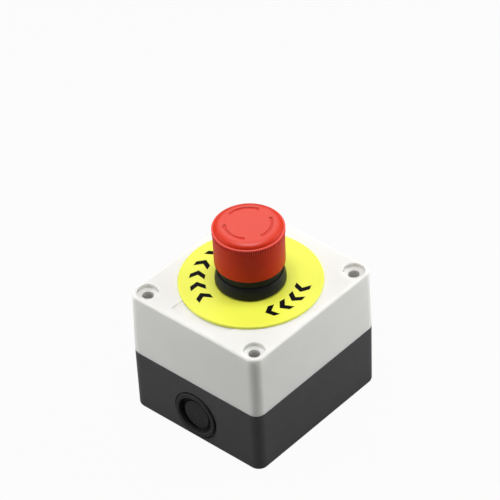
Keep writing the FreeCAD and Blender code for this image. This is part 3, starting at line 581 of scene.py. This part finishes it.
class STOP_OT_stage(bpy.types.Operator):
    """Build the floor, the sky, the soft lights and the camera"""
    bl_idname = "stop_station.stage"
    bl_label = "Stage"

    def execute(self, context):
        look = context.scene.stop_stage
        self.lay_floor(look)
        self.hang_sky(context, look)
        for side in LIGHTS:
            self.softbox(side, getattr(context.scene, f"stop_{side}_light"))
        self.place_camera(context, look)
        context.scene.view_settings.view_transform = "Standard"
        return {"FINISHED"}

    def lay_floor(self, look):
        """A square of pale matt paper that shows almost as bright as the backdrop."""
        material, tree, shader = empty_material("floor_paper")
        fill(tree, shader, {
            "Base Color": (*look.floor_colour, 1.0), "Roughness": look.floor_roughness,
            "Specular IOR Level": look.floor_gloss})
        glow = add_node(tree, "ShaderNodeEmission", {"Color": WHITE})
        seen = add_node(tree, "ShaderNodeLightPath").outputs["Is Camera Ray"]
        lit = add_node(tree, "ShaderNodeMixShader", {
            0: reckon(tree, "MULTIPLY", seen, look.floor_glow), 1: shader.outputs[0], 2: glow.outputs[0]})
        tree.links.new(lit.outputs[0], tree.nodes["Material Output"].inputs["Surface"])
        half, level = look.floor_size / 2, look.floor_rise
        corners = [(-half, -half, level), (half, -half, level), (half, half, level), (-half, half, level)]
        mesh = bpy.data.meshes.new("floor")
        mesh.from_pydata(corners, [], [(0, 1, 2, 3)])
        mesh.materials.append(material)
        link("floor", mesh)

    def hang_sky(self, context, look):
        """A weak, even light all round, in front of a white backdrop."""
        sky = bpy.data.worlds.new("even_sky")
        sky.use_nodes = True
        tree = sky.node_tree
        light = fill(tree, tree.nodes["Background"], {"Color": WHITE, "Strength": look.sky_strength})
        backdrop = add_node(tree, "ShaderNodeBackground", {"Color": WHITE})
        seen = add_node(tree, "ShaderNodeLightPath").outputs["Is Camera Ray"]
        either = add_node(tree, "ShaderNodeMixShader", {0: seen, 1: light.outputs[0], 2: backdrop.outputs[0]})
        tree.links.new(either.outputs[0], tree.nodes["World Output"].inputs["Surface"])
        context.scene.world = sky

    def softbox(self, side, look):
        """A soft light that faces the station from one side."""
        lamp = bpy.data.lights.new(side + "_softbox", "AREA")
        lamp.shape = "RECTANGLE"
        lamp.size = look.width
        lamp.size_y = look.height
        lamp.energy = look.power
        item = link(side + "_softbox", lamp)
        back = direction(look.azimuth, look.elevation)
        item.location = Vector((0.0, 0.0, LID_TOP)) + back * look.distance
        item.rotation_euler = (-back).to_track_quat("-Z", "Y").to_euler()

    def place_camera(self, context, look):
        """The camera, by its azimuth, elevation and roll about the point it aims at."""
        turn, roll = look.camera_azimuth, look.camera_roll
        back = direction(turn, look.camera_elevation)
        level = Vector((math.cos(turn), math.sin(turn), 0.0))
        upright = back.cross(level)
        right = level * math.cos(roll) + upright * math.sin(roll)
        up = upright * math.cos(roll) - level * math.sin(roll)
        camera = bpy.data.cameras.new("camera")
        camera.lens = look.camera_lens
        camera.sensor_width = SENSOR_WIDTH
        camera.clip_start = CLIP_START
        camera.clip_end = CLIP_END
        item = link("camera", camera)
        axes = Matrix((right, up, back)).transposed().to_4x4()
        item.matrix_world = Matrix.Translation(Vector(look.camera_aim) + back * look.camera_distance) @ axes
        context.scene.camera = item


class STOP_OT_enclosure(bpy.types.Operator):
    """Finish the box, its lid, its seals and its cable plug"""
    bl_idname = "stop_station.enclosure"
    bl_label = "Enclosure"

    def execute(self, context):
        tints = context.scene.stop_finish
        # The lid's edges are lightened strongly, as a painted highlight more than as wear.
        dress(moulded("lid_moulding", tints.lid_white, roughness=0.45, mottle=0.012, edge_wear_and_highlight=0.6,
                      gloss=0.25, scatter_depth=2.5 * MM), "lid")
        dress(moulded("box_moulding", tints.box_grey, roughness=0.48, mottle=0.05, edge_wear_and_highlight=0.05,
                      gloss=0.25), "base_box")
        dress(moulded("seal_rubber", tints.rubber_grey, roughness=0.62, mottle=0.08, grain_scale=1800.0,
                      gloss=0.3), "lid_gasket", "panel_gasket", "shaft_seal", "entry_plug")
        return {"FINISHED"}


class STOP_OT_legend(bpy.types.Operator):
    """Finish the yellow disc and print its ring of turn marks"""
    bl_idname = "stop_station.legend"
    bl_label = "Legend"

    def execute(self, context):
        legend = context.scene.stop_legend
        tints = context.scene.stop_finish
        dress(moulded("legend_moulding", tints.legend_yellow, roughness=0.45, mottle=0.015, gloss=0.60),
              "legend_disc")
        ink = moulded("print_ink", tints.print_black, roughness=0.45, mottle=0.10, edge_wear_and_highlight=0.0, gloss=0.05)
        rows = (("long", legend.long_count, legend.long_first, legend.long_step),
                ("short", legend.short_count, legend.short_first, legend.short_step))
        for name, number, first, step in rows:
            mark = prism("turn_mark", self.mark_outline(legend), 0.0, legend.mark_thickness)
            marks = grow("turn_marks_" + name, mark, copies_round_axis(), count=number,
                         radius=legend.mark_radius, first_angle=first, step_angle=step,
                         height=DISC_TOP, material=ink)
            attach(marks, "enclosure")
        return {"FINISHED"}

    def mark_outline(self, legend):
        """A chevron across the ring that points clockwise."""
        half, sweep, stroke = legend.mark_height / 2, legend.mark_sweep / 2, legend.mark_stroke / 2
        return [(-half, sweep + stroke), (-half, sweep - stroke), (0.0, -sweep - stroke),
                (half, sweep - stroke), (half, sweep + stroke), (0.0, -sweep + stroke)]


class STOP_OT_collar(bpy.types.Operator):
    """Finish the black collar, the sleeve and the mouldings that hold them"""
    bl_idname = "stop_station.collar"
    bl_label = "Collar"

    def execute(self, context):
        tints = context.scene.stop_finish
        dress(moulded("collar_moulding", tints.collar_black, roughness=0.42, mottle=0.06, edge_wear_and_highlight=0.03,
                      gloss=0.15), "bezel", "mounting_nut", "contact_carrier")
        dress(moulded("sleeve_moulding", tints.sleeve_black, roughness=0.5, mottle=0.06, edge_wear_and_highlight=0.02,
                      gloss=0.12), "head_sleeve")
        dress(moulded("guide_moulding", tints.guide_grey, roughness=0.45), "plunger_guide", "twist_cam",
              "plunger", "pusher_bar", "nc_cover", "no_cover")
        return {"FINISHED"}


class STOP_OT_cap(bpy.types.Operator):
    """Turn the red cap, sink its arrows and set the fine teeth under its rim"""
    bl_idname = "stop_station.cap"
    bl_label = "Cap"

    def execute(self, context):
        size = context.scene.stop_cap
        tints = context.scene.stop_finish
        cap = self.turn_cap(size, tints)
        self.sink_arrows(cap, size)
        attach(cap, "head")
        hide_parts("head_cap")
        # Painted highlight: the teeth are given a lighter red than the cap.
        crest = moulded("cap_crests", tints.tooth_red, roughness=0.35, mottle=0.02, edge_wear_and_highlight=0.0,
                        gloss=0.12)
        teeth = grow("cap_teeth", self.tooth(size), copies_round_axis(), count=size.tooth_count,
                     radius=0.0, first_angle=0.0, step_angle=FULL_TURN / size.tooth_count, height=0.0,
                     material=crest)
        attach(teeth, "head")
        return {"FINISHED"}

    def turn_cap(self, size, tints):
        """The cap without its arrows: red, with painted shade in the gaps of the toothed band and a painted
        highlight on the rim line.
        """
        # The cap's edges, the rim line's among them, are lightened as a painted highlight.
        red = moulded("cap_moulding", tints.cap_red, roughness=size.roughness, mottle=0.02,
                      grain_scale=2600.0, edge_wear_and_highlight=0.38, gloss=size.skirt_gloss)
        self.polish_top_and_paint_skirt_shade(red, size)
        # Painted shade: a darker copy of the cap's red for the gaps between the teeth.
        painted_gap_red = tuple(value * (1 - size.tooth_gap_painted_shade) for value in tints.cap_red)
        shaded_gaps = moulded("cap_gaps", painted_gap_red, roughness=0.55, mottle=0.02, edge_wear_and_highlight=0.0, gloss=0.05)
        # Painted highlight: a lighter red for the rim line.
        rim = moulded("cap_rim", tints.rim_red, roughness=0.40, mottle=0.02, edge_wear_and_highlight=0.0, gloss=0.3)
        cap = link("cap", lathe("cap", self.profile(size), size.segments))
        finishes = (red, shaded_gaps, rim)
        for finish in finishes:
            cap.data.materials.append(finish)
        high, low = self.toothed_band(size)
        rim_top = high + size.rim_width + size.soft_edge
        for face in cap.data.polygons:
            face.use_smooth = True
            if low < face.center.z < rim_top and face.center.xy.length > size.bore_radius:
                face.material_index = finishes.index(shaded_gaps if face.center.z < high else rim)
        return cap

    def sink_arrows(self, cap, size):
        """Round the cap's small edges and cut the arrows into its top."""
        arrow = prism("arrow", self.arrow_outline(size), CAP_HIGH.z - size.arrow_depth,
                      CAP_HIGH.z + size.arrow_depth)
        arrows = grow("arrows", arrow, copies_round_axis(), count=size.arrow_count, radius=0.0,
                      first_angle=size.arrow_tail, step_angle=FULL_TURN / size.arrow_count, height=0.0,
                      material=cap.data.materials[0])
        soften = cap.modifiers.new("soft edges", "BEVEL")
        soften.width = size.soft_edge
        soften.segments = size.soft_steps
        soften.limit_method = "ANGLE"
        soften.angle_limit = SHARP_ANGLE
        sink = cap.modifiers.new("sunk arrows", "BOOLEAN")
        sink.operation = "DIFFERENCE"
        sink.solver = "EXACT"
        sink.object = arrows
        settle(cap)
        cap.data.set_sharp_from_angle(angle=SHARP_ANGLE)
        drop(arrows)

    def polish_top_and_paint_skirt_shade(self, material, size):
        """Lay a polish over the top, and paint shade on the side: the red darkens from the top face down to
        the rim and stays darker on the skirt.
        """
        tree = material.node_tree
        shader = tree.nodes["Principled BSDF"]
        place = add_node(tree, "ShaderNodeTexCoord").outputs["Object"]
        height = add_node(tree, "ShaderNodeSeparateXYZ", {0: place}).outputs["Z"]
        top = CAP_HIGH.z
        # Painted shade: the red darkens from the top face down the crown, and the skirt below keeps the
        # darker red.
        tone = spread(tree, height, (top - size.rim_drop, top), 1 - size.skirt_painted_shade, 1.0)
        toned = add_node(tree, "ShaderNodeHueSaturation", {
            "Value": tone, "Color": shader.inputs["Base Color"].links[0].from_socket})
        fill(tree, shader, {
            "Base Color": toned.outputs[0],
            "Coat Weight": spread(tree, height, (top - size.palm_reach, top), 0.0, size.palm_polish),
            "Coat Roughness": size.roughness, "Coat IOR": size.palm_polish_ior})

    def toothed_band(self, size):
        """The heights of the teeth's upper and lower ends."""
        high = CAP_HIGH.z - size.rim_drop - size.rim_width
        return high, high - size.tooth_length - size.tooth_runout

    def skirt_radius(self, size, height):
        """The radius of the plain skirt at a height."""
        high, low = self.toothed_band(size)[0], CAP_LOW.z + size.foot_edge
        neck = size.rim_radius - size.rim_step
        return neck + (size.foot_radius - neck) * (high - height) / (high - low)

    def profile(self, size):
        """The cap's half section, from the top face round the skirt into the hollow."""
        top, low = CAP_HIGH.z, CAP_LOW.z
        rim_top = top - size.rim_drop
        rim_low, band_low = self.toothed_band(size)
        under_rim = rim_low - size.rim_step
        crown = size.rim_radius - size.rim_ledge - size.crown_reach
        foot = size.foot_radius - size.foot_edge
        points = arc(crown, rim_top, size.crown_reach, size.rim_drop, 90.0, 0.0, size.crown_steps)
        points += [(size.rim_radius, rim_top), (size.rim_radius, rim_low)]
        points += [(self.skirt_radius(size, height), height) for height in (under_rim, band_low)]
        points += arc(foot, low + size.foot_edge, size.foot_edge, size.foot_edge, 0.0, -90.0, size.foot_steps)
        points += [(size.bore_radius, low), (size.bore_radius, top - size.roof)]
        return points

    def arrow_outline(self, size):
        """A curved arrow that starts at angle 0 and points clockwise."""
        half = size.arrow_width / 2
        barb = size.arrow_head_width / 2
        neck = size.arrow_span - size.arrow_head_length / size.arrow_radius
        turns = [-neck * step / size.arrow_steps for step in range(size.arrow_steps + 1)]
        inner = [(size.arrow_radius - half, turn) for turn in turns]
        outer = [(size.arrow_radius + half, turn) for turn in reversed(turns)]
        head = [(size.arrow_radius - barb, -neck), (size.arrow_radius, -size.arrow_span),
                (size.arrow_radius + barb, -neck)]
        return [(radius * math.cos(turn), radius * math.sin(turn)) for radius, turn in inner + head + outer]

    def tooth(self, size):
        """One ridge on the skirt under the rim, at angle 0, its root sunk into the skirt."""
        high, low = self.toothed_band(size)
        root, crest = size.tooth_width / 2, size.tooth_crest / 2
        rings = []
        for height, rise in ((high, size.tooth_height), (low + size.tooth_runout, size.tooth_height),
                             (low, 0.0)):
            outside = self.skirt_radius(size, height) + rise
            inside = self.skirt_radius(size, height) - size.tooth_height
            rings.append([(inside, -root, height), (outside, -crest, height),
                          (outside, crest, height), (inside, root, height)])
        return skin("tooth", rings)


class STOP_OT_springs(bpy.types.Operator):
    """Wind the return spring and the two contact springs"""
    bl_idname = "stop_station.springs"
    bl_label = "Springs"

    def execute(self, context):
        size = context.scene.stop_springs
        steel = metal("spring_steel", context.scene.stop_finish.steel, roughness=0.30)
        for node, wire, joint in (("return_spring", size.return_wire, "push"),
                                  ("nc_spring", size.contact_wire, "nc_slide"),
                                  ("no_spring", size.contact_wire, "no_slide")):
            low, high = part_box(node)
            middle = (low.x + high.x) / 2
            spring = grow(node + "_wire", bpy.data.meshes.new(node), wound_wire(),
                          radius=(high.x - low.x - wire) / 2, wire=wire, centre_x=middle, bottom=low.z,
                          top=high.z, active_turns=size.active_turns, closed_turns=size.closed_turns,
                          closed_pitch=size.closed_pitch, steps=size.steps, sides=size.sides,
                          material=steel)
            for face in spring.data.polygons:
                face.use_smooth = True
            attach(spring, "enclosure")
            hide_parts(node)
            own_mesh(spring)
        return {"FINISHED"}


class STOP_OT_contacts(bpy.types.Operator):
    """Finish the contact blocks and the small metal pieces"""
    bl_idname = "stop_station.contacts"
    bl_label = "Contacts"

    def execute(self, context):
        tints = context.scene.stop_finish
        dress(moulded("block_moulding", tints.block_ivory, roughness=0.50), "nc_housing", "no_housing")
        dress(moulded("opening_moulding", tints.opening_red, roughness=0.45), "nc_pusher")
        dress(moulded("closing_moulding", tints.closing_green, roughness=0.45), "no_pusher")
        dress(metal("brass_strip", tints.brass, roughness=0.32),
              "nc_terminals", "no_terminals", "nc_bridge", "no_bridge")
        dress(metal("plated_steel", tints.steel, roughness=0.34), "lid_screws", "latch_ring",
              "plunger_clip", "carrier_screws", "nc_wire_clamps", "no_wire_clamps",
              "nc_terminal_screws", "no_terminal_screws")
        return {"FINISHED"}


OPERATORS = (STOP_OT_stage, STOP_OT_enclosure, STOP_OT_legend, STOP_OT_collar, STOP_OT_cap,
             STOP_OT_springs, STOP_OT_contacts)
SETTINGS = {
    "stop_stage": StageSettings,
    **{f"stop_{side}_light": settings for side, settings in LIGHTS.items()},
    "stop_finish": FinishSettings,
    "stop_cap": CapSettings,
    "stop_legend": LegendSettings,
    "stop_springs": SpringSettings,
}


class STOP_PT_station(bpy.types.Panel):
    """The station's operators and settings"""
    bl_idname = "STOP_PT_station"
    bl_label = "Stop Station"
    bl_space_type = "VIEW_3D"
    bl_region_type = "UI"
    bl_category = "Stop Station"

    def draw(self, context):
        for operator in OPERATORS:
            self.layout.operator(operator.bl_idname)
        for name in SETTINGS:
            group = getattr(context.scene, name)
            box = self.layout.box()
            for key in group.bl_rna.properties.keys():
                if key not in ("rna_type", "name"):
                    box.prop(group, key)


def register():
    """Register the settings, the operators and the panel."""
    for name, settings in SETTINGS.items():
        bpy.utils.register_class(settings)
        setattr(bpy.types.Scene, name, PointerProperty(type=settings))
    for item in OPERATORS + (STOP_PT_station,):
        bpy.utils.register_class(item)


def unregister():
    """Take back what register added."""
    for item in reversed(OPERATORS + (STOP_PT_station,)):
        bpy.utils.unregister_class(item)
    for name, settings in SETTINGS.items():
        delattr(bpy.types.Scene, name)
        bpy.utils.unregister_class(settings)


def main():
    """Build the whole scene."""
    register()
    for operator in OPERATORS:
        group, name = operator.bl_idname.split(".")
        getattr(getattr(bpy.ops, group), name)()


if __name__ == "__main__":
    main()
